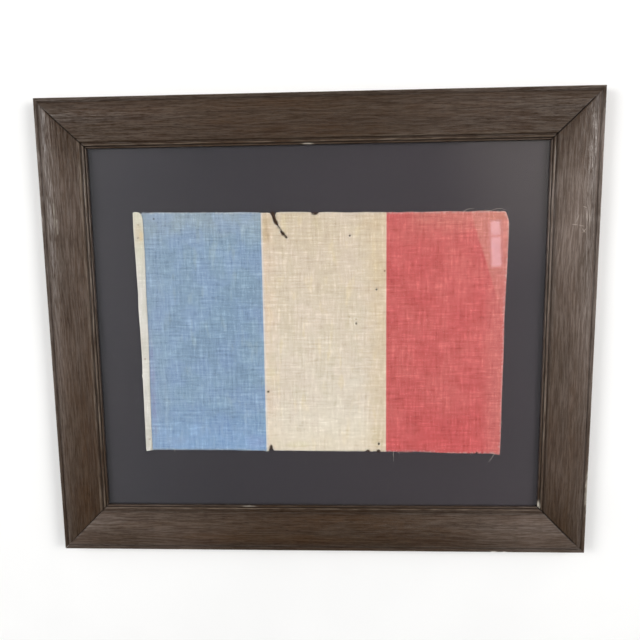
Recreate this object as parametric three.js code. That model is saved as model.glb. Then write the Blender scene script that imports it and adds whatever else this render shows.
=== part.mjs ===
// A worn printed cotton flag, blue, cream and red, laid flat behind glass in an oak picture frame.
// Millimetres. +X runs along the flag from hoist to fly, +Y from its foot to its head, +Z out of
// its face. The origin is the middle of the flat back, so the frame lies on the plane z = 0.
import * as THREE from "three";

// Frame: four mitred lengths of one moulding.
const FRAME_WIDTH = 880;
const FRAME_HEIGHT = 747;
const MOULDING_WIDTH = 77;
const OUTER_WALL = 23;
const CREST = 28;
const REBATE_WIDTH = 8;
const REBATE_DEPTH = 12.5;
const MITRE_GAP = 0.3;
const CURVE_STEPS = 8;

// Sheets that fill the rebate, from the back to the front, each a little apart from the next.
const SHEET_GAP = 0.3;
const SHEET_CLEARANCE = 1;
const BACKING_THICKNESS = 4;
const MOUNT_THICKNESS = 3;
const CLOTH_THICKNESS = 1;
const GLASS_THICKNESS = 2;

const MOUNT_BASE = BACKING_THICKNESS + SHEET_GAP;
const FLAG_BASE = MOUNT_BASE + MOUNT_THICKNESS + SHEET_GAP;
const HEADING_BASE = FLAG_BASE + CLOTH_THICKNESS + SHEET_GAP;
const GLASS_BASE = HEADING_BASE + CLOTH_THICKNESS + SHEET_GAP;

// The width and height of a sheet that fits between the rebate's walls.
const SHEET_INSET = MOULDING_WIDTH - REBATE_WIDTH + SHEET_CLEARANCE;
const SHEET_WIDTH = FRAME_WIDTH - 2 * SHEET_INSET;
const SHEET_HEIGHT = FRAME_HEIGHT - 2 * SHEET_INSET;

const OAK = 0x584c42;
const BOARD_GREY = 0x4d4b4d;
const CLOTH_CREAM = 0xdbcfb4;
const TAPE_WHITE = 0xdcd9c6;
const BACKING_BROWN = 0x7a6248;
const GLASS_TINT = 0xe8efec;

function finish(color, roughness) {
  return new THREE.MeshStandardMaterial({ color, roughness, metalness: 0 });
}

function named(name, geometry, material) {
  const mesh = new THREE.Mesh(geometry, material);
  mesh.name = name;
  return mesh;
}

// The moulding's section: x is the distance in from the frame's outer edge, y the height.
// A square arris and a quirk run round the outside, then a broad swell that falls inwards
// to a small step, a groove and two beads at the sight edge, over the rebate.
function mouldingSection() {
  const section = new THREE.Shape();
  section.moveTo(0, 0);
  section.lineTo(MOULDING_WIDTH - REBATE_WIDTH, 0);
  section.lineTo(MOULDING_WIDTH - REBATE_WIDTH, REBATE_DEPTH);
  section.lineTo(MOULDING_WIDTH, REBATE_DEPTH);
  section.lineTo(MOULDING_WIDTH, 15);
  section.quadraticCurveTo(76.9, 16.3, 75.7, 16.3);
  section.quadraticCurveTo(74.7, 16.3, 74.4, 15.2);
  section.lineTo(73.8, 15.2);
  section.quadraticCurveTo(73.5, 18.1, 71.8, 18.1);
  section.quadraticCurveTo(70.1, 18.1, 69.8, 16.6);
  section.lineTo(68.1, 16.6);
  section.lineTo(66.9, 19.3);
  section.lineTo(65.3, 19.7);
  section.bezierCurveTo(51, 21.9, 38, CREST, 24, CREST);
  section.bezierCurveTo(15, CREST, 9.5, 26, 7.6, 23.4);
  section.lineTo(6.8, 21.8);
  section.lineTo(5.6, 21.8);
  section.lineTo(5, OUTER_WALL);
  section.lineTo(0.8, OUTER_WALL);
  section.lineTo(0, OUTER_WALL - 0.8);
  section.closePath();
  return section;
}

// A rail as long as the frame's side, lying along X with its outer edge on y = 0 and its
// inner edge towards +Y, both ends cut back at 45 degrees.
function mitredRail(length) {
  const rail = new THREE.ExtrudeGeometry(mouldingSection(), {
    depth: length,
    bevelEnabled: false,
    curveSegments: CURVE_STEPS,
  });
  const gapAlongRail = (MITRE_GAP / 2) * Math.SQRT2;
  const points = rail.getAttribute("position");
  for (let i = 0; i < points.count; i++) {
    const inward = points.getX(i);
    const height = points.getY(i);
    const end = points.getZ(i) > length / 2 ? 1 : -1;
    const along = end * (length / 2 - inward - gapAlongRail);
    points.setXYZ(i, along, inward, height);
  }
  return rail;
}

// Each rail is the bottom one turned about the frame's middle by a number of quarter turns.
function buildFrame() {
  const frame = new THREE.Group();
  const sides = [
    ["rail_bottom", FRAME_WIDTH, FRAME_HEIGHT, 0],
    ["rail_right", FRAME_HEIGHT, FRAME_WIDTH, 1],
    ["rail_top", FRAME_WIDTH, FRAME_HEIGHT, 2],
    ["rail_left", FRAME_HEIGHT, FRAME_WIDTH, 3],
  ];
  for (const [name, length, span, quarterTurns] of sides) {
    const geometry = mitredRail(length);
    geometry.translate(0, -span / 2, 0);
    const rail = named(name, geometry, finish(OAK, 0.5));
    rail.rotation.z = (quarterTurns * Math.PI) / 2;
    frame.add(rail);
  }
  return frame;
}

// A rectangular sheet that lies in the rebate with its back at the given height.
function rebateSheet(name, base, thickness, material) {
  const geometry = new THREE.BoxGeometry(SHEET_WIDTH, SHEET_HEIGHT, thickness);
  const sheet = named(name, geometry, material);
  sheet.position.z = base + thickness / 2;
  return sheet;
}

// The flag's outline, clockwise from the head of the hoist. Its hoist edge lies hidden under
// the heading; the head, the fly and the foot are worn and uneven.
const HEAD_TO_TEAR = [
  [-291.5, 193], [-284, 192.6], [-280.5, 196.3], [-272, 195.4], [-255, 195.6], [-230, 195.1],
  [-200, 194.7], [-165, 194.4], [-144, 193.8], [-122, 194.4], [-97, 193.6], [-88.5, 192.7],
  [-78, 192.6],
];
// A long slanting tear in the cream band: down its left lip to the tip, then up its right lip.
const TEAR = [
  [-74.3, 192.3], [-71, 187.5], [-69, 181.5], [-68.6, 178.5], [-65.8, 175], [-62.2, 171.2],
  [-59.3, 168], [-57.6, 165], [-58.2, 162.2], [-55.5, 158.8], [-51.5, 155.2], [-47.2, 152.2],
  [-48.6, 155.5], [-51, 159], [-53.2, 162], [-55.2, 163.8], [-56.5, 166.2], [-58.6, 169.5],
  [-60.6, 172.5], [-61.4, 176.5], [-62.9, 179.5], [-65.3, 182.3], [-66, 186.5],
  [-64.8, 190.3], [-63.2, 193],
];
const HEAD_TO_FLY = [
  [-56, 193.5], [-16, 193.1], [-9, 192.6], [-5.5, 190.4], [-2.5, 188.7], [0.3, 188.5],
  [2.5, 190.5], [5, 192.2], [16, 192.6], [34, 192], [56, 191.2], [80, 191.6], [110, 190.8],
  [136, 190.4], [150, 190.9], [165, 190.2], [205, 190.9], [240, 190], [262, 191],
  [290, 189.4], [296, 190],
];
const FLY = [
  [299.5, 188.2], [302.8, 179], [304.6, 170], [304.3, 150], [303.6, 110], [302.5, 70],
  [301.4, 15], [301.8, -40], [301, -90], [300.7, -180], [300.4, -206],
];
const FOOT_RED = [
  [299.8, -208.5], [296, -208.2], [287, -206.7], [264, -206.4], [262.3, -204.2],
  [260.5, -206.4], [240, -206.4], [215, -205.9], [190, -204.8], [163, -203.8],
  [148, -204.8], [128, -203.8], [108, -203.9],
];
// Three bites out of the cream band's foot.
const FOOT_CREAM = [
  [103, -203.8], [100.5, -200.6], [98.5, -200.6], [96.3, -203.4], [86, -203.6],
  [83.8, -202.4], [81.8, -200.9], [79.5, -202.2], [77, -203.3], [55, -203.4], [20, -203.1],
  [-10, -202.9], [-35, -202.4], [-76, -202], [-77.5, -200], [-79.8, -197], [-80.2, -192.6],
  [-81.3, -192.6], [-82.2, -196.8], [-84.2, -199.2], [-84.8, -202],
];
const FOOT_BLUE = [
  [-88, -203.8], [-93, -202.4], [-110, -202.3], [-150, -201.5], [-200, -201.3],
  [-262, -201.1], [-291.5, -201.2],
];
// Small worn holes: centre, half width and half height.
const FLAG_HOLES = [
  [100, -190.2, 1.2, 1.9],
  [96, 68, 0.8, 0.9],
  [62.8, 13, 0.7, 1.7],
  [53.4, 154.8, 0.7, 0.8],
  [-83.7, -100.8, 0.9, 0.8],
];

// The heading is a strip of closer tape along the hoist, wider at the head than at the foot.
const HEADING_OUTLINE = [
  [-296, 196], [-293, 197], [-287.5, 196.6], [-284, 195], [-282, 191.8], [-280.2, 186],
  [-279.7, 130], [-280.6, 60], [-280.4, 0], [-281.9, -80], [-283.3, -160], [-283.4, -201.6],
  [-288, -202.2], [-293.6, -203.2], [-294.2, -198], [-293.8, -110], [-293.7, -76],
  [-295.1, -72.6], [-293.6, -69], [-293.2, -40], [-293.8, 0], [-294.8, 42], [-294.1, 65],
  [-294.9, 110], [-296.3, 170],
];

// A flat cloth of the given outline, with its back at the given height.
function clothSheet(name, outline, holes, base, material) {
  const shape = new THREE.Shape(outline.map(([x, y]) => new THREE.Vector2(x, y)));
  for (const [x, y, halfWidth, halfHeight] of holes) {
    const hole = new THREE.Path();
    hole.absellipse(x, y, halfWidth, halfHeight, 0, 2 * Math.PI);
    shape.holes.push(hole);
  }
  const geometry = new THREE.ExtrudeGeometry(shape, {
    depth: CLOTH_THICKNESS,
    bevelEnabled: false,
    curveSegments: CURVE_STEPS,
  });
  const cloth = named(name, geometry, material);
  cloth.position.z = base;
  return cloth;
}

function buildCloth() {
  const cloth = new THREE.Group();
  const flagOutline = [
    ...HEAD_TO_TEAR, ...TEAR, ...HEAD_TO_FLY, ...FLY, ...FOOT_RED, ...FOOT_CREAM, ...FOOT_BLUE,
  ];
  cloth.add(clothSheet("flag", flagOutline, FLAG_HOLES, FLAG_BASE, finish(CLOTH_CREAM, 0.9)));
  cloth.add(
    clothSheet("hoist_heading", HEADING_OUTLINE, [], HEADING_BASE, finish(TAPE_WHITE, 0.9)),
  );
  return cloth;
}

function buildSheets() {
  const sheets = new THREE.Group();
  sheets.add(
    rebateSheet("backing_board", 0, BACKING_THICKNESS, finish(BACKING_BROWN, 0.8)),
    rebateSheet("mount_board", MOUNT_BASE, MOUNT_THICKNESS, finish(BOARD_GREY, 0.9)),
  );
  const glass = finish(GLASS_TINT, 0.05);
  glass.transparent = true;
  glass.opacity = 0.15;
  sheets.add(rebateSheet("glazing", GLASS_BASE, GLASS_THICKNESS, glass));
  return sheets;
}

const framedFlag = new THREE.Group();
framedFlag.add(buildFrame(), buildSheets(), buildCloth());

export default framedFlag;
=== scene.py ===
# A worn printed cotton flag in blue, cream and red, laid flat behind glass in a dark oak frame.
import math
import random
from types import SimpleNamespace

import bmesh
import bpy
import numpy as np
from mathutils import Matrix, Vector, noise
from mathutils.geometry import delaunay_2d_cdt
from mathutils.kdtree import KDTree


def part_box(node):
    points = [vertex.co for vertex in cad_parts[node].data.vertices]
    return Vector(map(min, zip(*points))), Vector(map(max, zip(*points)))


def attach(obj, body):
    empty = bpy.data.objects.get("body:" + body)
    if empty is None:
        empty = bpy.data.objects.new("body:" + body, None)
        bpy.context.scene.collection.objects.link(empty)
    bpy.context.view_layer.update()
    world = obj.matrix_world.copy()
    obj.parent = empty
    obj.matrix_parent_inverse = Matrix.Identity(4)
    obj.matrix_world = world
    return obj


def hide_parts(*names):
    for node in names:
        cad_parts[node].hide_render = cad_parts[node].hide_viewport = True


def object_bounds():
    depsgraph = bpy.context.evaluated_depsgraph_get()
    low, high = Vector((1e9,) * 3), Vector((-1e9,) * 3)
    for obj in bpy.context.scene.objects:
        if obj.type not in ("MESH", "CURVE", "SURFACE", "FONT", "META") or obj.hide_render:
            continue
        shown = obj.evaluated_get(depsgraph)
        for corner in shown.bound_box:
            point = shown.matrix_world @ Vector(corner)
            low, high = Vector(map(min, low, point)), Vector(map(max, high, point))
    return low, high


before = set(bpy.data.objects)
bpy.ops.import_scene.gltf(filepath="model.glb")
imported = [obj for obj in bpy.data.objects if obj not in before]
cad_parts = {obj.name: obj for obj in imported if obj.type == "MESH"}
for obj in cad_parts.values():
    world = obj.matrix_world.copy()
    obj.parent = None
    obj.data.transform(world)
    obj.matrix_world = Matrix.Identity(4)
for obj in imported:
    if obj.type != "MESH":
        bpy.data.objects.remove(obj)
cad_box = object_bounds()

MM = 0.001
FACE_UP = Vector((0, 0, 1))

FLAG_LOW, FLAG_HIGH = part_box("flag")
TAPE_LOW, TAPE_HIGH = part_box("hoist_heading")
RAIL_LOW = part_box("rail_bottom")[0]
BOARD_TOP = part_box("mount_board")[1].z
GLASS_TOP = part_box("glazing")[1].z
FRAME_HALF = Vector((cad_box[1][0], cad_box[1][1], 0))

# Where the flag's printed bands meet, in millimetres along +X from the frame's middle.
BLUE_ENDS = -88.6
RED_STARTS = 111.7
HEADING_ENDS = TAPE_HIGH.x / MM


def clamp(value):
    return max(0.0, min(1.0, value))


def linear(hex_colour):
    """An sRGB colour such as "8CA9C8" as the linear numbers that a shader takes."""
    parts = [int(hex_colour[i : i + 2], 16) / 255 for i in (0, 2, 4)]
    return tuple(c / 12.92 if c <= 0.04045 else ((c + 0.055) / 1.055) ** 2.4 for c in parts)


# ---------------------------------------------------------------- materials


class Nodes:
    """A node tree, laid by small calls that each give back a socket."""

    def __init__(self, tree):
        self.tree = tree

    def feed(self, socket, value):
        """Links or sets an input; a colour is a hex string or three linear numbers."""
        if isinstance(value, str):
            value = linear(value)
        if isinstance(value, bpy.types.NodeSocket):
            self.tree.links.new(value, socket)
        elif hasattr(value, "__len__") and len(value) == 3 and socket.type == "RGBA":
            socket.default_value = (*value, 1)
        else:
            socket.default_value = value

    def node(self, kind, inputs=None, **settings):
        made = self.tree.nodes.new("ShaderNode" + kind)
        for name, value in settings.items():
            setattr(made, name, value)
        for name, value in (inputs or {}).items():
            self.feed(made.inputs[name], value)
        return made

    def math(self, operation, a, b=0.0):
        return self.node("Math", {0: a, 1: b}, operation=operation).outputs[0]

    def add(self, *values):
        total = values[0]
        for value in values[1:]:
            total = self.math("ADD", total, value)
        return total

    def times(self, *values):
        total = values[0]
        for value in values[1:]:
            total = self.math("MULTIPLY", total, value)
        return total

    def ramp(self, value, low, high, to_low=0.0, to_high=1.0, curve="LINEAR"):
        """value carried from low..high to to_low..to_high, and held past both."""
        inputs = {"Value": value, "From Min": low, "From Max": high,
                  "To Min": to_low, "To Max": to_high}
        return self.node("MapRange", inputs, interpolation_type=curve).outputs[0]

    def step(self, value, low, high, to_low=0.0, to_high=1.0):
        """The same, easing in and out."""
        return self.ramp(value, low, high, to_low, to_high, "SMOOTHSTEP")

    def mix(self, factor, a, b, blend="MIX"):
        made = self.node("Mix", {0: factor, 6: a, 7: b}, data_type="RGBA", blend_type=blend)
        return made.outputs[2]

    def washed(self, colour, *washes):
        """colour under washes, each a mask, how much of it counts and the wash's colour."""
        for mask, share, tint in washes:
            colour = self.mix(self.times(mask, share), colour, tint)
        return colour


class Graph(Nodes):
    """A material with its Principled shader."""

    def __init__(self, name, roughness=0.8):
        self.material = bpy.data.materials.new(name)
        self.material.use_nodes = True
        super().__init__(self.material.node_tree)
        self.shader = self.tree.nodes["Principled BSDF"]
        self.shader.inputs["Roughness"].default_value = roughness

    def paint(self, colour):
        self.feed(self.shader.inputs["Base Color"], colour)

    def noise(self, x, y, seed, detail=2.0, roughness=0.5):
        """Noise from about 0.2 to 0.8 over x and y, which the caller has scaled to its cells."""
        place = self.node("CombineXYZ", {"X": x, "Y": y, "Z": seed}).outputs[0]
        inputs = {"Vector": place, "Scale": 1.0, "Detail": detail, "Roughness": roughness}
        return self.node("TexNoise", inputs).outputs[0]

    def spread(self, x, y, seed, low=0.35, high=0.65, **kind):
        """The same noise, stretched to fill 0 to 1."""
        return self.step(self.noise(x, y, seed, **kind), low, high)

    def attribute(self, name):
        return self.node("Attribute", attribute_name=name).outputs["Fac"]

    def bump(self, height, strength, distance):
        inputs = {"Strength": strength, "Distance": distance, "Height": height}
        self.feed(self.shader.inputs["Normal"], self.node("Bump", inputs).outputs[0])

    def millimetres(self):
        """The place on the object, as two sockets in millimetres along X and Y."""
        place = self.node("TexCoord").outputs["Object"]
        split = self.node("SeparateXYZ", {0: place})
        return self.times(split.outputs[0], 1 / MM), self.times(split.outputs[1], 1 / MM)

    def blot(self, x, y, at, size, turn=0.0):
        """1 at a place, falling smoothly to 0 at an ellipse of the given half sizes."""
        dx = self.add(x, -at[0])
        dy = self.add(y, -at[1])
        c, s = math.cos(math.radians(turn)), math.sin(math.radians(turn))
        along = self.times(self.add(self.times(dx, c), self.times(dy, s)), 1 / size[0])
        across = self.times(self.add(self.times(dy, c), self.times(dx, -s)), 1 / size[1])
        reach = self.add(self.times(along, along), self.times(across, across))
        return self.step(reach, 0.0, 1.0, 1.0, 0.0)


def cotton(name, colour_of, thread=0.62, slubs=1.0, contrast_at=None):
    """Plain-weave cotton: uneven warp and weft threads over whatever colour_of paints."""
    g = Graph(name, roughness=0.92)
    x, y = g.millimetres()
    wander_x = g.times(g.add(g.noise(g.times(x, 0.02), g.times(y, 0.02), 3.1), -0.5), 3.0)
    wander_y = g.times(g.add(g.noise(g.times(x, 0.02), g.times(y, 0.02), 8.7), -0.5), 3.0)
    u, v = g.add(x, wander_x), g.add(y, wander_y)
    # Slubs: thick and thin places along single threads, then in loose bands of threads.
    weft = g.noise(g.times(u, 0.05), g.times(v, 1.1), 1.3, detail=1.0)
    warp = g.noise(g.times(u, 1.1), g.times(v, 0.05), 5.9, detail=1.0)
    weft_band = g.noise(g.times(u, 0.022), g.times(v, 0.26), 11.0, detail=2.0, roughness=0.55)
    warp_band = g.noise(g.times(u, 0.24), g.times(v, 0.022), 17.0, detail=2.0, roughness=0.55)
    blotch = g.noise(g.times(u, 0.12), g.times(v, 0.12), 23.0, detail=3.0, roughness=0.6)
    slub = g.add(g.times(g.add(weft, warp, -1.0), 0.45 * slubs),
                 g.times(g.add(weft_band, warp_band, -1.0), 0.72 * slubs),
                 g.times(g.add(blotch, -0.5), 0.5 * slubs))
    if contrast_at:
        slub = g.times(slub, contrast_at(g, x))
    # The over-and-under of the threads themselves.
    over = g.math("SINE", g.times(u, math.pi / thread))
    under = g.math("SINE", g.times(v, math.pi / thread))
    weave = g.math("ABSOLUTE", g.times(over, under))
    painted = colour_of(g, x, y)
    lit = g.mix(g.step(slub, 0.0, 0.35, 0.0, 0.6), painted, (1, 1, 1), "SOFT_LIGHT")
    deep = g.mix(1.0, lit, lit, "MULTIPLY")
    shaded = g.mix(g.step(slub, 0.0, -0.4, 0.0, 0.48), lit, deep)
    gaps = g.step(weave, 0.0, 0.35, 0.14, 0.0)
    g.paint(g.mix(gaps, shaded, (0.05, 0.045, 0.04)))
    g.bump(g.add(g.times(slub, 0.8), g.times(weave, 0.35)), 0.5, 0.2 * MM)
    g.shader.inputs["Specular IOR Level"].default_value = 0.15
    return g.material


def band_contrast(g, x):
    """How plainly the threads show: least in the cream, most in the red."""
    return g.add(g.step(x, BLUE_ENDS - 1, BLUE_ENDS + 1, 1.0, 0.92),
                 g.step(x, RED_STARTS - 1, RED_STARTS + 1, 0.0, 0.18))


def blue_band(g, x, cloud, m):
    hoist_fade = g.step(g.add(x, g.times(m.patch, 8.0)), -225.0, -285.0)
    return g.washed(g.mix(cloud, "6E849C", "788FA4"),
                    (m.patch, 0.6, "758BA2"), (m.head, 0.6, "74889A"), (m.top, 0.8, "828F99"),
                    (m.tint, 0.25, "8094BC"), (m.smudge, 0.4, "8C9CA2"), (m.foot, 0.6, "7B98BE"),
                    (hoist_fade, 0.28, "7E8DA1"))


def cream_band(g, x, cloud, m):
    near_blue = g.step(g.add(x, g.times(m.patch, 14.0)), -52.0, -84.0)
    near_red = g.step(g.add(x, g.times(m.patch, 12.0)), 72.0, 112.0)
    return g.washed(g.mix(cloud, "C1B7A8", "C9C0B4"),
                    (m.patch, 0.35, "BCB2A1"), (m.head, 0.75, "B7A792"), (m.tint, 0.3, "C5B5AB"),
                    (m.smudge, 0.35, "CEBE9B"), (near_blue, 0.35, "C8AD95"), (m.foot, 0.5, "D3C7B3"),
                    (near_red, 0.55, "BEAB91"))


def red_band(g, x, y, cloud, m):
    """Red painted salmon past a slanting line near the fly, and along the head: partly real fading,
    partly a painted reflection of the pale veil on the glass.
    """
    slant = g.step(g.add(x, g.times(y, 0.33), g.times(m.patch, 1.5)), 305.0, 309.5)
    fade_and_veil = g.times(slant, g.step(y, 30.0, 110.0, 0.25, 0.85))
    worn_fly = g.times(g.step(x, 262.0, 290.0), g.step(y, 95.0, 60.0))
    # Painted reflection of the veil on the glass over the red's top right, as well as fading.
    top_right = g.times(m.top, g.step(x, 135.0, 170.0))
    return g.washed(g.mix(cloud, "AC4F4E", "B45C59"),
                    (m.patch, 0.4, "A74849"), (m.tint, 0.25, "B55355"), (m.foot, 0.5, "B6484B"),
                    (fade_and_veil, 1.0, "B26F68"), (worn_fly, 0.4, "B46E68"), (top_right, 0.6, "B26F65"))


def stripe(g, x, start, full, fading, end):
    """1 from full to fading, 0 before start and past end."""
    return g.times(g.step(x, start, full), g.step(x, fading, end, 1.0, 0.0))


def flag_colours(g, x, y):
    """The three printed bands, faded and stained."""
    cloud = g.spread(g.times(x, 0.016), g.times(y, 0.016), 4.0, detail=3.0)
    patch = g.spread(g.times(x, 0.05), g.times(y, 0.05), 9.0, detail=4.0, roughness=0.6)
    # Towards the head each band is painted darker and yellower, towards the foot paler and clearer:
    # partly yellowing, partly painted light that falls brighter on the foot.
    masks = SimpleNamespace(
        patch=patch,
        head=g.step(g.add(y, g.times(patch, 30.0)), -150.0, 190.0),
        top=g.step(g.add(y, g.times(patch, 12.0)), 140.0, 196.0),
        foot=g.step(g.add(y, g.times(patch, 30.0)), -90.0, -200.0),
        tint=g.spread(g.times(x, 0.03), g.times(y, 0.022), 51.0, low=0.42, high=0.62, detail=3.0),
        smudge=g.spread(g.times(x, 0.07), g.times(y, 0.02), 57.0, low=0.55, high=0.7, detail=3.0),
    )
    ragged = g.times(g.add(g.noise(g.times(x, 0.8), g.times(y, 0.8), 2.0), -0.5), 1.2)
    edge_x = g.add(x, ragged)
    bands = [blue_band(g, x, cloud, masks), cream_band(g, x, cloud, masks),
             red_band(g, x, y, cloud, masks)]
    # A pale line where the blue stops, and a pink one where the red starts.
    blue_line = stripe(g, edge_x, BLUE_ENDS - 1.0, BLUE_ENDS + 0.4, BLUE_ENDS + 1.4, BLUE_ENDS + 3.2)
    red_line = stripe(g, edge_x, RED_STARTS - 2.6, RED_STARTS - 0.4, RED_STARTS, RED_STARTS + 0.6)
    colour = g.washed(by_band(g, edge_x, *bands), (blue_line, 0.5, "C1C1C5"), (red_line, 0.5, "C7AC9C"))

    # Tan water stains, each at a place, softened by the patchy noise.
    soften = g.step(patch, 0.0, 1.0, 0.45, 1.0)
    for at, size, turn, strength, tint in FLAG_STAINS:
        colour = g.washed(colour, (g.times(g.blot(x, y, at, size, turn), soften), strength, tint))
    for at, size, tint in RUST_SPOTS:
        colour = g.washed(colour, (g.blot(x, y, at, (size, size)), 0.85, tint))

    # Pale worn edges, then brown, dark margins round the tear and the bites: brown fraying and rust,
    # with painted shade in and beside the gaps.
    patches = g.spread(g.times(x, 0.3), g.times(y, 0.3), 44.0, detail=2.0)
    colour = g.washed(colour, (g.times(g.attribute("worn_edge"), patches), 0.5, "C2BFBB"))
    return browned_and_shaded(g, x, y, colour, "331F05", 1.0)


def by_band(g, x, blue, cream, red):
    """Whichever of the three colours the flag has at x."""
    in_cream = g.step(x, BLUE_ENDS - 0.5, BLUE_ENDS + 0.5)
    in_red = g.step(x, RED_STARTS - 0.5, RED_STARTS + 0.5)
    return g.mix(in_red, g.mix(in_cream, blue, cream), red)


def browned_and_shaded(g, x, y, colour, dark_brown, strength):
    """Paints brown and dark round the tear, the bites and the worn holes: brown fraying and rust, and
    painted shade in and beside the gaps.
    """
    for at, size, turn, depth in BROWNED_AND_SHADED:
        colour = g.washed(colour, (g.blot(x, y, at, size, turn), depth * strength, dark_brown))
    return colour


# Brown, dark margins, partly painted shade of the gaps: place and half sizes in millimetres, turn in
# degrees, strength.
BROWNED_AND_SHADED = [
    ((-69.5, 191), (6, 4.2), -70, 0.9),
    ((-67.3, 184), (8, 4.0), -74, 1.0),
    ((-65, 178), (8, 4.4), -60, 1.0),
    ((-60.5, 170), (4.5, 3.2), -58, 0.5),
    ((-56.8, 164.5), (4, 3), -60, 0.45),
    ((-53.5, 159), (6, 4.0), -50, 1.0),
    ((-49, 154.2), (4.5, 2.6), -46, 1.0),
    ((-2, 190.5), (8, 3.4), 4, 0.9),
    ((-81, -196.5), (4, 6), 0, 1.0),
    ((99.5, -203), (4.4, 4), 0, 0.9),
    ((81.8, -202.5), (4.4, 3.2), 0, 0.9),
    ((262.3, -205.5), (3, 2.4), 0, 0.7),
    ((62.8, 13), (1.6, 2.8), 0, 0.8),
    ((100, -190.2), (2.4, 3), 0, 0.9),
    ((96, 68), (1.8, 1.8), 0, 0.8),
    ((53.4, 154.8), (1.6, 1.6), 0, 0.8),
    ((-83.7, -100.8), (2, 1.8), 0, 0.9),
]


# Stains on the flag: place and half sizes in millimetres, turn in degrees, strength, colour.
FLAG_STAINS = [
    ((-81, 170), (9, 34), 0, 0.75, "A48F71"),
    ((-70, 182), (16, 12), 0, 0.5, "AA9B7E"),
    ((-30, 186), (50, 8), 0, 0.35, "AFA082"),
    ((0, 176), (10, 18), 0, 0.4, "A5987B"),
    ((84, 176), (30, 20), 0, 0.35, "B29D82"),
    ((100, 96), (14, 60), 0, 0.3, "B4A382"),
    ((-35, -192), (26, 9), 0, 0.35, "B9B187"),
    ((98, -178), (16, 22), 0, 0.35, "B2A686"),
    ((-84, -101), (5, 4), 0, 0.8, "917B56"),
    ((-78, -60), (12, 40), 0, 0.3, "B6AC8E"),
    ((288, 182), (20, 10), 0, 0.5, "A2674F"),
    ((225, -160), (34, 40), 0, 0.5, "A54647"),
    ((150, -170), (22, 60), 0, 0.35, "AB4D4E"),
    ((-108, -186), (22, 16), 0, 0.4, "7B89B1"),
    ((-240, -186), (30, 12), 0, 0.3, "8292AE"),
    ((-262, 160), (24, 26), 0, 0.35, "7D8B94"),
    ((-150, 20), (50, 70), 0, 0.35, "6A829B"),
    ((-277.5, -90), (6.5, 120), 0, 0.65, "7B81A1"),
    ((-262, 60), (6, 110), 0, 0.35, "71829B"),
    ((-257, -120), (4, 90), 0, 0.35, "8E9FB2"),
]
# Rusty pin marks and specks, and the dark one near the head of the hoist.
RUST_SPOTS = [
    ((-262.4, 185.6), 2.2, "3C4048"),
    ((53.4, 154.8), 2.2, "5A4A38"),
    ((96, 68), 2.0, "5A4432"),
    ((109.2, 98), 2.0, "6A4A34"),
    ((-83.7, -100.8), 2.4, "4A3620"),
    ((100, -190.2), 2.4, "5A452C"),
    ((62.8, 20), 1.6, "8A7A60"),
    ((52, 24), 1.6, "A0927A"),
]


def tape_colours(g, x, y):
    """Unbleached heading tape with a tan stain near its head and rust round its tack holes."""
    cloud = g.spread(g.times(x, 0.08), g.times(y, 0.02), 21.0, detail=3.0)
    ribs = g.spread(g.times(x, 0.9), g.times(y, 0.02), 31.0)
    colour = g.washed(g.mix(cloud, "BBB7AF", "C7C3BE"), (ribs, 0.35, "AEA9A0"))
    for at, size, strength, tint in TAPE_STAINS:
        colour = g.washed(colour, (g.blot(x, y, at, size), strength, tint))
    return g.washed(colour, (g.attribute("worn_edge"), 0.3, "C8C9C6"))


TACK_HOLES = [(-287.9, 176.5), (-289.2, 155.7), (-287.9, -43.9), (-287.2, -182.0)]
TAPE_STAINS = [
    ((-288, 200), (16, 130), 0.45, "B9B49A"),
    ((-288, 163), (9, 22), 0.6, "B1A089"),
    ((-284, 158), (5, 10), 0.5, "C2AC88"),
    *[(hole, (2.4, 2.2), 0.75, "8F7A58") for hole in TACK_HOLES],
]


# Old scratches on the right rail: two ends and half width in millimetres, strength.
SCRATCHES = [
    ((410.5, 194.5), (416.3, 192), 1.0, 0.6),
    ((416.4, 190), (417.8, 170.5), 1.0, 0.8),
    ((420.5, 212), (422, 150), 1.6, 0.35),
    ((405.7, 183), (401.3, 169.5), 0.9, 0.6),
    ((396, 167.3), (404, 166.3), 1.1, 0.7),
    ((405, 166), (414, 164), 1.0, 0.5),
    ((410.8, 160.5), (416, 154), 1.2, 0.5),
    ((411.5, 154), (417, 161), 1.2, 0.5),
]


def scratched(g, x, y, colour):
    for start, end, half, strength in SCRATCHES:
        middle = ((start[0] + end[0]) / 2, (start[1] + end[1]) / 2)
        run, rise = end[0] - start[0], end[1] - start[1]
        size = (math.hypot(run, rise) / 2 + half, half)
        line = g.blot(x, y, middle, size, math.degrees(math.atan2(rise, run)))
        colour = g.washed(colour, (line, strength, "A3968C"))
    return colour


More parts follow.
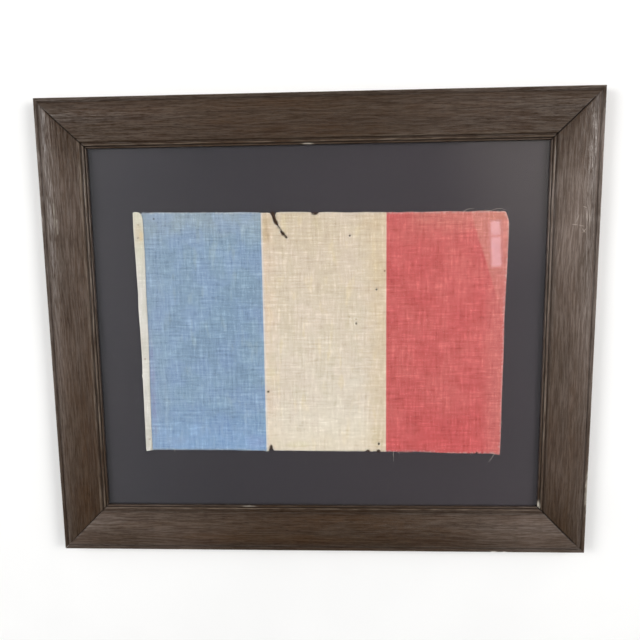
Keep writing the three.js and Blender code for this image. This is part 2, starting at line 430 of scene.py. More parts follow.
def oak(name):
    """Dark stained oak, its grain along the map named grain: u along the rail, v across it."""
    g = Graph(name, roughness=0.4)
    grain = g.node("SeparateXYZ", {0: g.node("UVMap", uv_map="grain").outputs[0]})
    u, v = g.times(grain.outputs[0], 1 / MM), g.times(grain.outputs[1], 1 / MM)
    sway = g.times(g.add(g.noise(g.times(u, 0.005), g.times(v, 0.02), 1.0, detail=2.0), -0.5), 12.0)
    w = g.add(v, sway)
    broad = g.spread(g.times(u, 0.003), g.times(w, 0.09), 2.0, detail=2.0)
    streak = g.spread(g.times(u, 0.024), g.times(w, 0.36), 5.0, low=0.42, high=0.62,
                      detail=4.0, roughness=0.65)
    dark_streak = g.spread(g.times(u, 0.023), g.times(w, 0.42), 9.0, low=0.48, high=0.62, detail=3.0)
    fibre = g.spread(g.times(u, 0.1), g.times(w, 1.7), 7.0, low=0.4, high=0.6, detail=2.0)
    pores = g.spread(g.times(u, 0.1), g.times(w, 1.5), 13.0, low=0.52, high=0.64, detail=1.0)
    cloud = g.spread(g.times(u, 0.012), g.times(v, 0.03), 27.0, detail=3.0)
    colour = g.washed(g.mix(broad, "342110", "3F2A16"),
                      (cloud, 0.4, "36291A"), (streak, 0.29, "56412C"), (dark_streak, 0.28, "251910"),
                      (fibre, 0.2, "2C1F15"), (pores, 0.42, "1A120C"))
    # Paler where each rail is painted with the side light's sheen, partly a faded patina; arrises worn
    # pale in patches and a painted highlight on the step; grime and painted shade in the grooves; stain
    # knocked off.
    in_streaks = g.add(0.55, g.times(streak, 0.45))
    grime_and_shade = g.attribute("grime_and_shade")
    patchy = g.spread(g.times(u, 0.03), g.times(w, 0.5), 19.0, low=0.4, high=0.6, detail=3.0)
    colour = g.washed(colour,
                      (g.attribute("bleach_and_sheen"), in_streaks, "84756C"),
                      (g.times(g.attribute("rubbed_and_lit"), patchy), 0.8, "8C7F70"),
                      (grime_and_shade, 0.85, "120E0B"),
                      (g.attribute("bared"), 1.0, "CFC8BA"))
    colour = scratched(g, *g.millimetres(), colour)
    # The back is bare, never stained.
    facing = g.node("SeparateXYZ", {0: g.node("NewGeometry").outputs["True Normal"]}).outputs[2]
    behind = g.step(facing, -0.9, -0.6, 1.0, 0.0)
    raw = g.washed(g.mix(streak, "8A7050", "A78C66"), (pores, 0.5, "5A4630"))
    g.paint(g.mix(behind, colour, raw))
    gloss = g.add(0.38, g.times(streak, -0.1), g.times(pores, 0.2), g.times(dark_streak, 0.1),
                  g.times(grime_and_shade, 0.3), g.times(cloud, 0.1), g.times(behind, 0.4))
    g.feed(g.shader.inputs["Roughness"], gloss)
    # Dry, open stretches of grain throw back less light than polished ones.
    polish = g.add(0.34, g.times(streak, 0.25), g.times(dark_streak, -0.15), g.times(pores, -0.15))
    g.feed(g.shader.inputs["Specular IOR Level"], polish)
    height = g.add(g.times(pores, -0.8), g.times(fibre, -0.3), g.times(streak, 0.35),
                   g.times(dark_streak, -0.4))
    g.bump(height, 0.4, 0.3 * MM)
    return g.material


def mount_board():
    """Dark grey board with a fine napped face."""
    g = Graph("mount_board", roughness=0.95)
    x, y = g.millimetres()
    nap = g.noise(g.times(x, 0.8), g.times(y, 0.8), 3.0, detail=3.0, roughness=0.7)
    cloud = g.spread(g.times(x, 0.012), g.times(y, 0.012), 6.0, detail=3.0)
    across = g.step(x, -300.0, 300.0)
    raised = g.step(nap, 0.35, 0.65)
    colour = g.washed(g.mix(across, "2A282D", "342E32"),
                      (cloud, 0.3, "312D31"), (raised, 0.35, "373439"))
    # The board seen through the tear is painted dark brown: painted shade in the gap, as well as the
    # brown.
    g.paint(browned_and_shaded(g, x, y, colour, "321A02", 0.97))
    g.bump(nap, 0.05, 0.05 * MM)
    g.shader.inputs["Specular IOR Level"].default_value = 0.1
    return g.material


def hardboard():
    """Plain brown hardboard, its rough side out."""
    g = Graph("hardboard", roughness=0.85)
    x, y = g.millimetres()
    mesh_x = g.math("SINE", g.times(x, math.pi / 1.6))
    mesh_y = g.math("SINE", g.times(y, math.pi / 1.6))
    net = g.step(g.times(mesh_x, mesh_y), -0.2, 0.6)
    fleck = g.spread(g.times(x, 0.5), g.times(y, 0.5), 2.0, detail=4.0, roughness=0.7)
    cloud = g.spread(g.times(x, 0.012), g.times(y, 0.012), 4.0, detail=3.0)
    g.paint(g.washed(g.mix(cloud, "6E5540", "7E644B"), (fleck, 0.4, "5A4432")))
    g.bump(g.add(g.times(net, 0.6), g.times(fleck, 0.4)), 0.5, 0.2 * MM)
    return g.material


def picture_glass():
    """Clear glass that lets the lamps' light straight through to what lies behind it."""
    g = Graph("picture_glass", roughness=0.03)
    g.shader.inputs["Base Color"].default_value = (0.975, 0.985, 0.98, 1)
    g.shader.inputs["Transmission Weight"].default_value = 1.0
    g.shader.inputs["IOR"].default_value = 1.5
    clear = g.node("BsdfTransparent", {"Color": (0.98, 0.985, 0.98)}).outputs[0]
    shadow = g.node("LightPath").outputs["Is Shadow Ray"]
    both = g.node("MixShader", {0: shadow, 1: g.shader.outputs[0], 2: clear})
    g.feed(g.tree.nodes["Material Output"].inputs["Surface"], both.outputs[0])
    return g.material


def pale_floor():
    g = Graph("pale_floor", roughness=0.9)
    x, y = g.millimetres()
    cloud = g.spread(g.times(x, 0.004), g.times(y, 0.004), 1.0, detail=2.0)
    g.paint(g.mix(cloud, (0.94, 0.94, 0.935), (0.96, 0.96, 0.955)))
    return g.material


# ---------------------------------------------------------------- mesh helpers


def face_loops(node, axis):
    """The closed loops round a CAD node's faces that look along axis, outermost first.

    Each loop starts at its leftmost point, so that the grain and the threads never change.
    """
    mesh = bmesh.new()
    mesh.from_mesh(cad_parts[node].data)
    bmesh.ops.remove_doubles(mesh, verts=mesh.verts, dist=1e-6)
    looking = [f for f in mesh.faces if f.normal.dot(axis) > 0.99]
    facing = set(looking)
    following = {}
    for face in looking:
        for corner in face.loops:
            if not any(f in facing for f in corner.edge.link_faces if f != face):
                following[corner.vert] = corner.link_loop_next.vert
    loops = []
    while following:
        vert, onward = following.popitem()
        loop = [vert.co.copy()]
        while onward in following:
            loop.append(onward.co.copy())
            onward = following.pop(onward)
        first = loop.index(min(loop, key=tuple))
        loops.append(loop[first:] + loop[:first])
    mesh.free()
    return sorted(loops, key=lambda loop: -abs(flat_area(loop)))


def flat_area(loop):
    pairs = zip(loop, loop[1:] + loop[:1])
    return sum(a.x * b.y - b.x * a.y for a, b in pairs) / 2


def resampled(loop, step):
    """The same closed loop with its long sides cut into pieces of about step."""
    points = []
    for a, b in zip(loop, loop[1:] + loop[:1]):
        count = max(1, round((b - a).length / step))
        points += [a.lerp(b, i / count) for i in range(count)]
    return points


def frayed(loop, depth, seed):
    """The loop with its points moved in and out a little, as cut threads leave it."""
    points = []
    for before, here, after in zip(loop[-1:] + loop[:-1], loop, loop[1:] + loop[:1]):
        out = (after - before).cross(FACE_UP).normalized()
        fine = noise.noise(here * 700 + Vector((seed, 0, 0)))
        coarse = noise.noise(here * 160 + Vector((0, seed, 0)))
        points.append(here + out * depth * (0.6 * fine + 0.7 * coarse))
    return points


def inside(points, loops):
    """For each point, True if it lies within an odd number of the loops."""
    x, y = points[:, 0], points[:, 1]
    within = np.zeros(len(points), bool)
    for loop in loops:
        for a, b in zip(loop, loop[1:] + loop[:1]):
            if a.y != b.y:
                crosses = (a.y > y) != (b.y > y)
                within ^= crosses & (x < (b.x - a.x) * (y - a.y) / (b.y - a.y) + a.x)
    return within


def new_piece(name, vertices, faces, material, smooth=True):
    mesh = bpy.data.meshes.new(name)
    mesh.from_pydata([tuple(v) for v in vertices], [], faces)
    mesh.materials.append(material)
    mesh.polygons.foreach_set("use_smooth", [smooth] * len(mesh.polygons))
    mesh.update()
    piece = bpy.data.objects.new(name, mesh)
    bpy.context.scene.collection.objects.link(piece)
    return piece


def keep_values(piece, name, values):
    """Stores one number for each vertex, for the material to read."""
    layer = piece.data.attributes.new(name, "FLOAT", "POINT")
    layer.data.foreach_set("value", values)


def distances(points, places):
    tree = KDTree(len(places))
    for i, place in enumerate(places):
        tree.insert(Vector((place[0], place[1], 0)), i)
    tree.balance()
    return [tree.find(Vector((p[0], p[1], 0)))[2] for p in points]


def cloth_sheet(name, loops, spacing, height_at, thickness, material):
    """A flat cloth within the loops, with points every spacing, lifted by height_at(x, y)."""
    rim = [p for loop in loops for p in loop]
    edges, start = [], 0
    for loop in loops:
        edges += [(start + i, start + (i + 1) % len(loop)) for i in range(len(loop))]
        start += len(loop)
    low = Vector((min(p.x for p in rim), min(p.y for p in rim)))
    high = Vector((max(p.x for p in rim), max(p.y for p in rim)))
    grid = np.array([
        (x, y)
        for j, y in enumerate(np.arange(low.y, high.y, spacing * 0.87))
        for x in np.arange(low.x + spacing * (j % 2) / 2, high.x, spacing)
    ])
    near = np.array(distances(grid, rim)) < 0.62 * spacing
    grid = grid[inside(grid, loops) & ~near]
    points = [Vector((p.x, p.y)) for p in rim] + [Vector(p) for p in grid]
    verts, _, faces, *_ = delaunay_2d_cdt(points, edges, [], 0, 1e-8)
    centres = np.array([sum((verts[i] for i in f), Vector((0, 0))) / 3 for f in faces])
    faces = [f for f, kept in zip(faces, inside(centres, loops)) if kept]
    lifted = [(v.x, v.y, height_at(v.x, v.y)) for v in verts]
    piece = new_piece(name, lifted, faces, material)
    keep_values(piece, "worn_edge", [
        1.0 if d < 0.4 * MM else 0.0 for d in distances(verts, rim)
    ])
    shell = piece.modifiers.new("thickness", "SOLIDIFY")
    shell.thickness = thickness
    shell.offset = 0
    return piece


def tube_mesh(name, paths, radius, material, sides=4):
    """Many thin tubes along short paths, joined in one mesh, tapering to their loose ends."""
    vertices, faces = [], []
    for path in paths:
        base = len(vertices)
        for i, here in enumerate(path):
            ahead = path[min(i + 1, len(path) - 1)] - path[max(i - 1, 0)]
            across = ahead.cross(FACE_UP).normalized()
            if across.length < 0.5:
                across = Vector((1, 0, 0))
            up = across.cross(ahead).normalized()
            wide = radius * (1 - 0.6 * i / (len(path) - 1))
            for k in range(sides):
                turn = 2 * math.pi * k / sides
                vertices.append(here + across * wide * math.cos(turn) + up * wide * math.sin(turn))
        for i in range(len(path) - 1):
            for k in range(sides):
                a = base + i * sides + k
                b = base + i * sides + (k + 1) % sides
                faces.append((a, b, b + sides, a + sides))
        last = base + (len(path) - 1) * sides
        faces.append(tuple(base + k for k in reversed(range(sides))))
        faces.append(tuple(last + k for k in range(sides)))
    return new_piece(name, vertices, faces, material)


# ---------------------------------------------------------------- the flag

FLAG_SHEET = 0.35 * MM
FLAG_MIDDLE = (FLAG_LOW.z + FLAG_HIGH.z) / 2
FLAG_GRID = 3.2 * MM


def rim_lift(x, y):
    """How far the cloth's loose edges stand off the board; the heading holds the hoist down."""
    inset = min(FLAG_HIGH.x - x, FLAG_HIGH.y - y, y - FLAG_LOW.y)
    near = max(0.0, 1 - max(0.0, inset) / (9 * MM)) ** 2
    wave = 0.55 + 0.75 * noise.noise(Vector((x * 16, y * 16, 7.7)))
    held = clamp((x / MM + 278) / 12)
    return near * held * max(0.1, wave) * 1.1 * MM


def flag_height(x, y):
    """The cloth lies almost flat: slow cockles, an old fold by the hoist and a short crease."""
    cockle = noise.noise(Vector((x * 9, y * 9, 1.7))) + 0.5 * noise.noise(Vector((x * 25, y * 22, 5.1)))
    fold = math.exp(-(((x / MM + 259) / 3) ** 2))
    crease = math.exp(-(((x / MM - 3.3) / 1.6) ** 2)) * clamp((y / MM - 150) / 20)
    return FLAG_MIDDLE + (0.14 * cockle + 0.16 * fold - 0.16 * crease) * MM + rim_lift(x, y)


def build_flag():
    loops = face_loops("flag", FACE_UP)
    loops = [resampled(loops[0], 1.1 * MM)] + [resampled(loop, 0.4 * MM) for loop in loops[1:]]
    loops = [frayed(loop, 0.35 * MM, 3.0 + i) for i, loop in enumerate(loops)]
    flag = cloth_sheet("flag_cloth", loops, FLAG_GRID, flag_height, FLAG_SHEET,
                       cotton("flag_cotton", flag_colours, contrast_at=band_contrast))
    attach(flag, "root")
    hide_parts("flag")
    return flag, loops


def build_heading():
    loops = [resampled(face_loops("hoist_heading", FACE_UP)[0], 1.2 * MM)]
    loops = [frayed(loops[0], 0.15 * MM, 9.0)]
    for x, y in TACK_HOLES:
        turns = [2 * math.pi * k / 8 for k in range(8)]
        middle = Vector((x, y, 0)) * MM
        loops.append([middle + 0.52 * MM * Vector((math.cos(t), math.sin(t), 0)) for t in turns])

    def height(x, y):
        return TAPE_LOW.z + 0.05 * MM + 0.1 * MM * noise.noise(Vector((x * 60, y * 20, 2.0)))

    heading = cloth_sheet("heading_tape", loops, 2.0 * MM, height, 0.5 * MM,
                          cotton("heading_cotton", tape_colours, thread=0.45, slubs=0.6))
    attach(heading, "root")
    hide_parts("hoist_heading")
    return heading


def bleached_thread():
    """The long threads, which have lost their dye."""
    g = Graph("bleached_thread", roughness=0.9)
    x, y = g.millimetres()
    fuzz = g.spread(g.times(x, 0.9), g.times(y, 0.9), 12.0, detail=2.0)
    g.paint(g.mix(fuzz, "A89C90", "E6DED3"))
    g.bump(fuzz, 0.3, 0.1 * MM)
    return g.material


def thread_material():
    """Cut ends of thread, each tinted by where on the flag it came from."""
    g = Graph("loose_thread", roughness=0.9)
    x, y = g.millimetres()
    fuzz = g.spread(g.times(x, 0.9), g.times(y, 0.9), 2.0, detail=2.0)
    blue = g.mix(fuzz, "B4C0CC", "D2D6D8")
    cream = g.mix(fuzz, "CEBFA5", "E6DCCB")
    red = g.mix(fuzz, "CC9E95", "E4D1C6")
    in_tape = g.step(x, HEADING_ENDS - 0.4, HEADING_ENDS + 0.4, 1.0, 0.0)
    colour = g.mix(in_tape, by_band(g, x, blue, cream, red), "D9D5C4")
    g.paint(browned_and_shaded(g, x, y, colour, "5E4524", 0.6))
    g.bump(fuzz, 0.3, 0.1 * MM)
    return g.material


# Long loose threads that lie out on the board, in millimetres.
LONG_THREADS = [
    [(233, 190), (238, 193.6), (244, 194.6), (249, 194.2)],
    [(268, 190.5), (277, 191.3), (285, 194.0), (294, 193.6), (299, 191.5)],
    [(124.4, -203), (124.0, -209), (125.2, -215), (124.4, -221)],
    [(292, -207), (288, -213), (284.5, -219), (282, -222)],
    [(-246.8, -200.5), (-246.2, -203.5), (-245.4, -206)],
    [(-86, -201), (-86.6, -204), (-85.2, -206)],
    [(132, -203.5), (133, -206), (135.4, -207.4)],
    [(300, -150), (302.2, -154), (302.6, -160)],
]


def held_wefts(rng):
    """Weft threads that still cross the tear, where it is almost closed and at its tip."""
    paths = []
    for down in [172 - 0.45 * k for k in range(18)] + [157.5 - 0.5 * k for k in range(7)]:
        # The tear slants to the fly as it runs down.
        middle = -61.6 + 0.64 * (172 - down)
        across = [middle - 2.8, middle + rng.uniform(-0.6, 0.6), middle + 2.8]
        row = [Vector((x, down + rng.uniform(-0.35, 0.35), 0)) * MM for x in across]
        paths.append([Vector((p.x, p.y, flag_height(p.x, p.y))) for p in row])
    return paths


def cut_ends(rim, rng):
    """Short cut ends of thread that stick out all round the cloth, but not under the heading."""
    paths = []
    for before, here, after in zip(rim[-1:] + rim[:-1], rim, rim[1:] + rim[:1]):
        hidden = here.x < TAPE_HIGH.x - 8 * MM
        if hidden or rng.random() < 0.45:
            continue
        out = (after - before).cross(FACE_UP).normalized()
        lean = Vector((rng.uniform(-1, 1), rng.uniform(-1, 1), 0)) * 0.8
        reach = rng.uniform(0.4, 1.3) * MM * (2.2 if rng.random() < 0.06 else 1.0)
        root = Vector((here.x, here.y, flag_height(here.x, here.y))) - out * 0.5 * MM
        middle = root + (out + lean * 0.3) * reach * 0.8
        tip = middle + (out + lean).normalized() * reach * 0.7 - FACE_UP * 0.12 * MM
        paths.append([root, middle, tip])
    return paths


def laid_out(points):
    """A long thread's path through points: it drops from the cloth and waves over the board."""
    floor = BOARD_TOP + 0.25 * MM
    path = []
    for i in range(4 * (len(points) - 1) + 1):
        t = i / 4
        k = min(int(t), len(points) - 2)
        a, b = Vector((*points[k], 0)), Vector((*points[k + 1], 0))
        wave = 0.25 * MM * math.sin(2.3 * i)
        drop = max(0.0, 1 - t)
        lift = Vector((wave, wave * 0.6, floor + drop * (FLAG_MIDDLE - floor)))
        path.append(a.lerp(b, t - k) * MM + lift)
    return path


def build_threads(loops):
    """Short threads at the cloth's edges and across the tear, then the long loose ones."""
    paths = held_wefts(random.Random(17)) + cut_ends(loops[0], random.Random(41))
    fringe = tube_mesh("cut_ends", paths, 0.13 * MM, thread_material(), sides=3)
    long_paths = [laid_out(points) for points in LONG_THREADS]
    loose = tube_mesh("loose_threads", long_paths, 0.21 * MM, bleached_thread(), sides=5)
    for piece in (fringe, loose):
        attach(piece, "root")
    return fringe, loose


# ---------------------------------------------------------------- the frame

EASE = 0.35 * MM
RAIL_ROW = 5.0 * MM
MITRE_GAP = 0.22 * MM
# The front is all of the section that lies higher than this.
FRONT = 12 * MM


def moulding_section():
    """The moulding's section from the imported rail: (distance in, height) points, in order."""
    mitre = Vector((-1, 1, 0)).normalized()
    loop = face_loops("rail_bottom", mitre)[0]
    section = [Vector((p.y - RAIL_LOW.y, p.z)) for p in loop]
    # Wax and dust have half filled the quirk beside the outer fillet.
    for point in section:
        if 5.2 * MM < point.x < 7.2 * MM and point.y > FRONT:
            point.y = max(point.y, 22.5 * MM)
    turning = sum(a.x * b.y - b.x * a.y for a, b in zip(section, section[1:] + section[:1]))
    return section if turning > 0 else section[::-1]


def eased(section, radius):
    """The section with each hard corner rounded off, as handling leaves it."""
    points = []
    for before, here, after in zip(section[-1:] + section[:-1], section, section[1:] + section[:1]):
        back, on = before - here, after - here
        bend = math.pi - back.angle(on)
        if bend < math.radians(14):
            points.append(here)
            continue
        cut = min(radius, 0.45 * back.length, 0.45 * on.length)
        a, b = here + back.normalized() * cut, here + on.normalized() * cut
        for k in range(4):
            t = k / 3
            points.append(a * (1 - t) ** 2 + here * 2 * t * (1 - t) + b * t**2)
    return points


def filled(section, step):
    """The section with points added so that none are further apart than step."""
    points = []
    for a, b in zip(section, section[1:] + section[:1]):
        count = max(1, math.ceil((b - a).length / step))
        points += [a.lerp(b, i / count) for i in range(count)]
    return points


# Knocks: rail, place along it from its middle, place in from the outer edge, half length,
# half width, depth, how bare of stain, all lengths in millimetres. A rail runs anticlockwise
# round the frame, seen from above.
KNOCKS = [
    ("rail_right", -294, 75.4, 9, 2.4, 0.7, 1.0),
    ("rail_right", -264, 1.2, 45, 2.2, 0.25, 0.45),
    ("rail_bottom", 291, 1.0, 4, 2.0, 0.5, 0.8),
    ("rail_bottom", 308, 1.0, 3, 1.6, 0.5, 0.8),
    ("rail_left", -192, 24, 20, 1.6, 0.2, 0.35),
    ("rail_left", -174, 27, 14, 1.2, 0.2, 0.3),
    ("rail_top", 12, 76, 9, 1.6, 0.2, 0.5),
    ("rail_bottom", -120, 75.5, 14, 1.4, 0.15, 0.4),
]


# Bands along the moulding, as distance in from its outer edge, half width and strength. The arrises are
# worn pale; the grooves are darkened by grime and by painted shade in the recesses and along the sight
# edge.
ARRISES = [(1.5, 2.5, 0.35), (72.0, 1.3, 0.85), (75.9, 0.9, 0.2)]
GROOVES = [(2.6, 1.6, 0.35), (6.2, 1.9, 0.5), (68.8, 1.3, 0.45), (74.1, 0.9, 0.8), (77.0, 0.8, 0.5)]
# How pale and how dark the step at the foot of the swell is painted on each rail: a painted highlight
# strongest on the left and top rails, painted shade strongest on the bottom and right ones, over some
# real wear and dirt.
STEP = 66.2
STEP_WORN_AND_LIT = {"rail_bottom": 0.0, "rail_right": 0.25, "rail_top": 0.35, "rail_left": 0.65}
STEP_DIRT_AND_SHADE = {"rail_bottom": 0.45, "rail_right": 0.3, "rail_top": 0.1, "rail_left": 0.0}
# How pale each rail is painted, at its start and at its end: mostly painted sheen where the side light
# falls, partly a faded patina.
BLEACH_AND_SHEEN = {"rail_bottom": (0.0, 0.05), "rail_right": (0.12, 0.76),
            "rail_top": (0.08, 0.04), "rail_left": (0.36, 0.02)}
# How far each mitre stands open: lower left, lower right, upper right, upper left.
MITRES = [0.45, 0.8, 0.75, 0.6]
# How deep an open mitre's edge sinks, and the next row of points beside it.
MITRE_DIPS = {0: 1.1 * MM, 1: 0.25 * MM}


def rail_rows(length):
    """Places along a rail as shares of its length, closer together at the mitres."""
    near = [0.0, 0.0011, 0.0028]
    count = round(length / RAIL_ROW)
    return near + [i / count for i in range(1, count)] + [1 - share for share in reversed(near)]


def knocked(name, along, point):
    """How deep the knocks have dented a point on the rail's top, and how bare they left it."""
    sunk, bare = 0.0, 0.0
    if point.x <= 2 * MM and point.y <= 21.5 * MM:
        return sunk, bare
    for rail, where, inset, half, wide, depth, bareness in KNOCKS:
        off = ((along / MM - where) / half) ** 2 + ((point.x / MM - inset) / wide) ** 2
        if rail == name and off < 1:
            ragged = 0.6 + 0.8 * noise.noise(Vector((along * 420, point.x * 420, 3.0)))
            strength = (1 - off) ** 0.5 * clamp(ragged)
            sunk += depth * MM * strength
            bare = max(bare, bareness * min(1.0, strength * 1.6))
    return sunk, bare


def front_wear(name, along, inset, seed):
    """How pale and how dark the rail's front is painted here: wear and grime, with painted highlight on
    the step and painted shade in the grooves.
    """
    streaky = clamp(0.5 + 0.9 * noise.noise(Vector((along * 11, inset * 40, seed + 4))))
    at_step = strongest([(STEP, 2.0, 1.0)], inset)
    rubbed_and_lit = max(strongest(ARRISES, inset), at_step * STEP_WORN_AND_LIT[name]) * streaky
    return rubbed_and_lit, max(strongest(GROOVES, inset), at_step * STEP_DIRT_AND_SHADE[name])


def build_rail(name, quarter_turns, section, material):
    """One rail: its section in rows from mitre to mitre, dented and worn point by point."""
    half_length, span = FRAME_HALF.x, FRAME_HALF.y
    if quarter_turns % 2:
        half_length, span = span, half_length
    rows = rail_rows(2 * half_length)
    ring = len(section)
    seed = 31.0 * quarter_turns
    vertices, wear = [], []
    for k, row in enumerate(rows):
        dip = MITRE_DIPS.get(min(k, len(rows) - 1 - k), 0.0)
        gaping = MITRES[(quarter_turns + (row > 0.5)) % 4]
        for i, point in enumerate(section):
            reach = half_length - point.x - MITRE_GAP
            along = (2 * row - 1) * reach
            sunk, rubbed_and_lit, grime_and_shade, bared = 0.0, 0.0, 0.0, 0.0
            if point.y > FRONT:
                # The mitre stands a little open over the face, and closes at the outer corner.
                opening = gaping * clamp((point.x / MM - 12) / 10)
                wander = noise.noise(Vector((along * 14, i * 0.21, seed)))
                dent, bared = knocked(name, along, point)
                sunk = 0.05 * MM * wander + dip * opening + dent
                rubbed_and_lit, grime_and_shade = front_wear(name, along, point.x, seed)
                # The open mitre's edge is painted dark as well: dirt in the joint and painted shade in
                # its gap.
                if dip:
                    grime_and_shade = max(grime_and_shade, opening)
            onward = (section[(i + 1) % ring] - section[i - 1]).normalized()
            place = point - Vector((onward.y, -onward.x)) * sunk
            vertices.append(Vector((along, place.x - span, place.y)))
            from_end = min(row, 1 - row) * 2 * reach
            wear.append((rubbed_and_lit, grime_and_shade, bared, bleach_and_sheen_at(name, row, from_end, point.x, seed)))
    faces = [
        (a + i, a + (i + 1) % ring, a + ring + (i + 1) % ring, a + ring + i)
        for a in range(0, (len(rows) - 1) * ring, ring)
        for i in range(ring)
    ]
    rail = new_piece(name.replace("rail_", "oak_rail_"), vertices, faces, material)
    close_ends(rail, ring, len(rows))
    for label, values in zip(("rubbed_and_lit", "grime_and_shade", "bared", "bleach_and_sheen"), zip(*wear)):
        keep_values(rail, label, values)
    map_grain(rail, section, quarter_turns)
    rail.data.transform(Matrix.Rotation(quarter_turns * math.pi / 2, 4, "Z"))
    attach(rail, "root")
    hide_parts(name)
    return rail


def bleach_and_sheen_at(name, row, from_end, inset, seed):
    """How pale a rail is painted here, in clouds, less at the sight edge: painted sheen from the side
    light, partly a faded patina.

    The corners are kept dark, except on the bottom rail, whose ends are painted paler than its middle.
    """
    start, end = BLEACH_AND_SHEEN[name]
    if name == "rail_bottom":
        start = end = max(start, 0.3 * (1 - from_end / (300 * MM)))
    cloudy = 1 + 0.9 * noise.noise(Vector((row * 6, inset * 30, seed + 9)))
    corner = 1.0 if name == "rail_bottom" else min(1.0, from_end / (90 * MM))
    inner = 1 - 0.25 * clamp((inset / MM - 40) / 25)
    return max(0.0, (start + (end - start) * row) * cloudy * corner * inner)


def strongest(bands, inset):
    """How strongly the nearest of the bands (place, half width, strength) reaches this inset."""
    reach = [k * max(0.0, 1 - ((inset / MM - at) / half) ** 2) for at, half, k in bands]
    return max(reach)


def close_ends(rail, ring, row_count):
    """Fills the two mitre faces and marks the hard edges round them."""
    mesh = bmesh.new()
    mesh.from_mesh(rail.data)
    mesh.verts.ensure_lookup_table()
    ends = [mesh.verts[:ring], mesh.verts[(row_count - 1) * ring :]]
    for verts in ends:
        loop = set(verts)
        edges = [e for e in mesh.edges if e.verts[0] in loop and e.verts[1] in loop]
        bmesh.ops.triangle_fill(mesh, edges=edges, use_beauty=True)
    bmesh.ops.recalc_face_normals(mesh, faces=mesh.faces)
    for edge in mesh.edges:
        edge.smooth = len(edge.link_faces) == 2 and edge.calc_face_angle() < math.radians(50)
    mesh.to_mesh(rail.data)
    mesh.free()
    rail.data.polygons.foreach_set("use_smooth", [True] * len(rail.data.polygons))


def map_grain(rail, section, quarter_turns):
    """The grain map: metres along the rail and round its section, each rail on its own stretch."""
    layer = rail.data.uv_layers.new(name="grain")
    ring = len(section)
    around = [0.0]
    for a, b in zip(section, section[1:] + section[:1]):
        around.append(around[-1] + (b - a).length)
    seam = around[-1]
    for face in rail.data.polygons:
        steps = [rail.data.loops[i].vertex_index % ring for i in face.loop_indices]
        wraps = max(steps) - min(steps) > ring // 2 and len(steps) == 4
        for i, step in zip(face.loop_indices, steps):
            place = rail.data.vertices[rail.data.loops[i].vertex_index].co
            v = seam if wraps and step == 0 else around[step]
            layer.data[i].uv = (place.x + 3.0 * quarter_turns, v)


def build_frame():
    section = filled(eased(moulding_section(), EASE), 2.0 * MM)
    material = oak("stained_oak")
    sides = ["rail_bottom", "rail_right", "rail_top", "rail_left"]
    return [build_rail(name, turns, section, material) for turns, name in enumerate(sides)]


def dress(node, material):
    """Gives a CAD node that keeps its shape a better material."""
    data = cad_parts[node].data
    data.materials.clear()
    data.materials.append(material)


# ---------------------------------------------------------------- camera, floor and lights

# The camera looks down on the frame from a little above and right of its middle.
CAMERA_PLACE = Vector((0.0415, 0.1380, 0.9343))
CAMERA_TARGET = Vector((0.0047, 0.0210, 0.0230))
CAMERA_ROLL = math.radians(-0.72)
CAMERA_LENS = 32.18


def aim(thing, place, target, roll=0.0):
    """Puts a camera or lamp at place, looking at target, with +Y up in its view."""
    forward = (target - place).normalized()
    side = forward.cross(Vector((0, 1, 0))).normalized()
    upward = side.cross(forward)
    turn = Matrix((side, upward, -forward)).transposed().to_4x4()
    thing.matrix_world = Matrix.Translation(place) @ turn @ Matrix.Rotation(roll, 4, "Z")


def add_camera():
    lens = bpy.data.cameras.new("camera")
    lens.lens = CAMERA_LENS
    lens.sensor_width = 36
    camera = bpy.data.objects.new("camera", lens)
    bpy.context.scene.collection.objects.link(camera)
    aim(camera, CAMERA_PLACE, CAMERA_TARGET, CAMERA_ROLL)
    bpy.context.scene.camera = camera


def add_softbox(name, place, target, size, glow, colour=(1, 1, 1), roll=0.0):
    """A rectangular soft lamp whose face is glow times as bright as white."""
    lamp = bpy.data.lights.new(name, "AREA")
    lamp.shape = "RECTANGLE"
    lamp.size, lamp.size_y = size
    lamp.energy = glow * math.pi * size[0] * size[1]
    lamp.color = colour
    holder = bpy.data.objects.new(name, lamp)
    bpy.context.scene.collection.objects.link(holder)
    aim(holder, Vector(place), Vector(target), roll)
    return holder


def seen_in_glass(x, y, height):
    """The place at a height that the camera sees mirrored at x, y on the glass, in metres."""
    sunk = 2 * GLASS_TOP - CAMERA_PLACE.z
    grow = (height - sunk) / (GLASS_TOP - sunk)
    return Vector((CAMERA_PLACE.x + (x - CAMERA_PLACE.x) * grow,
                   CAMERA_PLACE.y + (y - CAMERA_PLACE.y) * grow, height))


def add_reflection(name, corners, height, glow, colour):
    """A lamp whose mirror image in the glass fills a box of corners, given in millimetres."""
    top_left, top_right, low_right, low_left = (
        seen_in_glass(x * MM, y * MM, height) for x, y in corners
    )
    middle = (top_left + top_right + low_right + low_left) / 4
    upright = (top_left + top_right - low_left - low_right).normalized()
    size = ((top_right - top_left).length, (top_left - low_left).length)
    holder = add_softbox(name, middle, middle - FACE_UP, size, glow, colour)
    lean = math.atan2(upright.x, upright.y)
    holder.matrix_world = holder.matrix_world @ Matrix.Rotation(-lean, 4, "Z")
    return holder


def fade_edges(lamp, left, right, low, high, lace=0.0):
    """Fades a lamp's face over these fractions of its width and height, and may veil it in lace."""
    lamp.use_nodes = True
    g = Nodes(lamp.node_tree)
    face = g.node("NewGeometry").outputs["Parametric"]
    split = g.node("SeparateXYZ", {0: face})
    strength = g.times(g.step(split.outputs[0], 0.0, left), g.step(split.outputs[0], 1.0, 1 - right),
                       g.step(split.outputs[1], 0.0, low), g.step(split.outputs[1], 1.0, 1 - high))
    if lace:
        holes = g.node("TexNoise", {"Vector": face, "Scale": 7.0, "Detail": 2.0}).outputs[0]
        strength = g.times(strength, g.ramp(holes, 0.4, 0.6, 1 - lace, 1 + lace))
    g.feed(g.tree.nodes["Emission"].inputs["Strength"], strength)


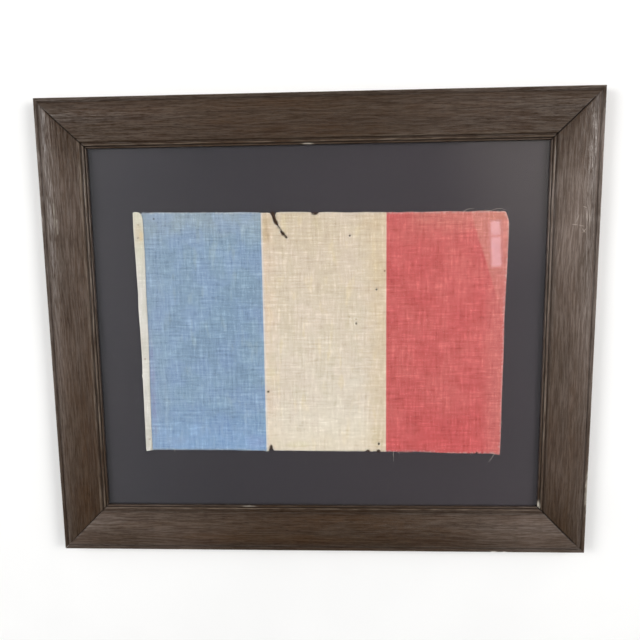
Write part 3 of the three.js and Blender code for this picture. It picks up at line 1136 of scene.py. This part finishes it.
def light_room():
    """Soft room light from the two sides, a little more from the head, hardly any from above."""
    world = bpy.data.worlds.new("studio")
    bpy.context.scene.world = world
    world.use_nodes = True
    g = Nodes(world.node_tree)
    way = g.node("SeparateXYZ", {0: g.node("TexCoord").outputs["Generated"]})
    aside = g.step(g.math("ABSOLUTE", way.outputs["X"]), 0.12, 0.8, 0.2, 0.92)
    headward = g.step(way.outputs["Y"], -0.45, 0.35, 0.75, 1.15)
    sky = g.tree.nodes["Background"]
    g.feed(sky.inputs["Strength"], g.times(aside, headward))
    g.feed(sky.inputs["Color"], (0.97, 0.985, 1.0))


def light_scene():
    light_room()
    key = add_softbox("key", (-2.15, 0.5, 1.9), (-0.2, 0.1, 0), (1.5, 1.5), 8.9, (1.0, 0.985, 0.97))
    fade_edges(key.data, 0.2, 0.2, 0.2, 0.2)
    fill = add_softbox("fill", (2.2, 0.5, 1.9), (0.2, 0.1, 0), (1.5, 1.5), 9.6, (1.0, 0.975, 0.95))
    fade_edges(fill.data, 0.2, 0.2, 0.2, 0.2)
    window = add_reflection("window", [(274, 151.5), (292, 151.5), (295, 102), (277, 102)],
                            1.6, 2.1, (0.84, 1.0, 1.25))
    fade_edges(window.data, 0.12, 0.12, 0.06, 0.06, lace=0.25)
    pane = add_reflection("upper_pane", [(273, 177), (291, 177), (292, 151), (274.5, 151)],
                          1.6, 2.1, (0.86, 1.0, 1.22))
    fade_edges(pane.data, 0.15, 0.15, 0.12, 0.15, lace=0.25)
    veil = add_reflection("curtain", [(150, 309), (470, 397), (560, 126), (240, 38)],
                          1.7, 0.36, (1.0, 0.86, 0.7))
    fade_edges(veil.data, 0.45, 0.3, 0.6, 0.05)
    floor = new_piece("floor", [(-4, -4, 0), (4, -4, 0), (4, 4, 0), (-4, 4, 0)], [(0, 1, 2, 3)],
                      pale_floor(), smooth=False)
    floor.location.z = -0.0005
    bpy.context.scene.view_settings.view_transform = "Standard"


# ---------------------------------------------------------------- all together

add_camera()
light_scene()
dress("mount_board", mount_board())
dress("backing_board", hardboard())
dress("glazing", picture_glass())
build_frame()
flag, flag_loops = build_flag()
heading = build_heading()
fringe, loose = build_threads(flag_loops)

# The cloth was cut to a stock 60 x 40 cm; its area is what its worn outline leaves.
flag_area = abs(flat_area(flag_loops[0]))
tape_area = abs(flat_area(face_loops("hoist_heading", FACE_UP)[0]))
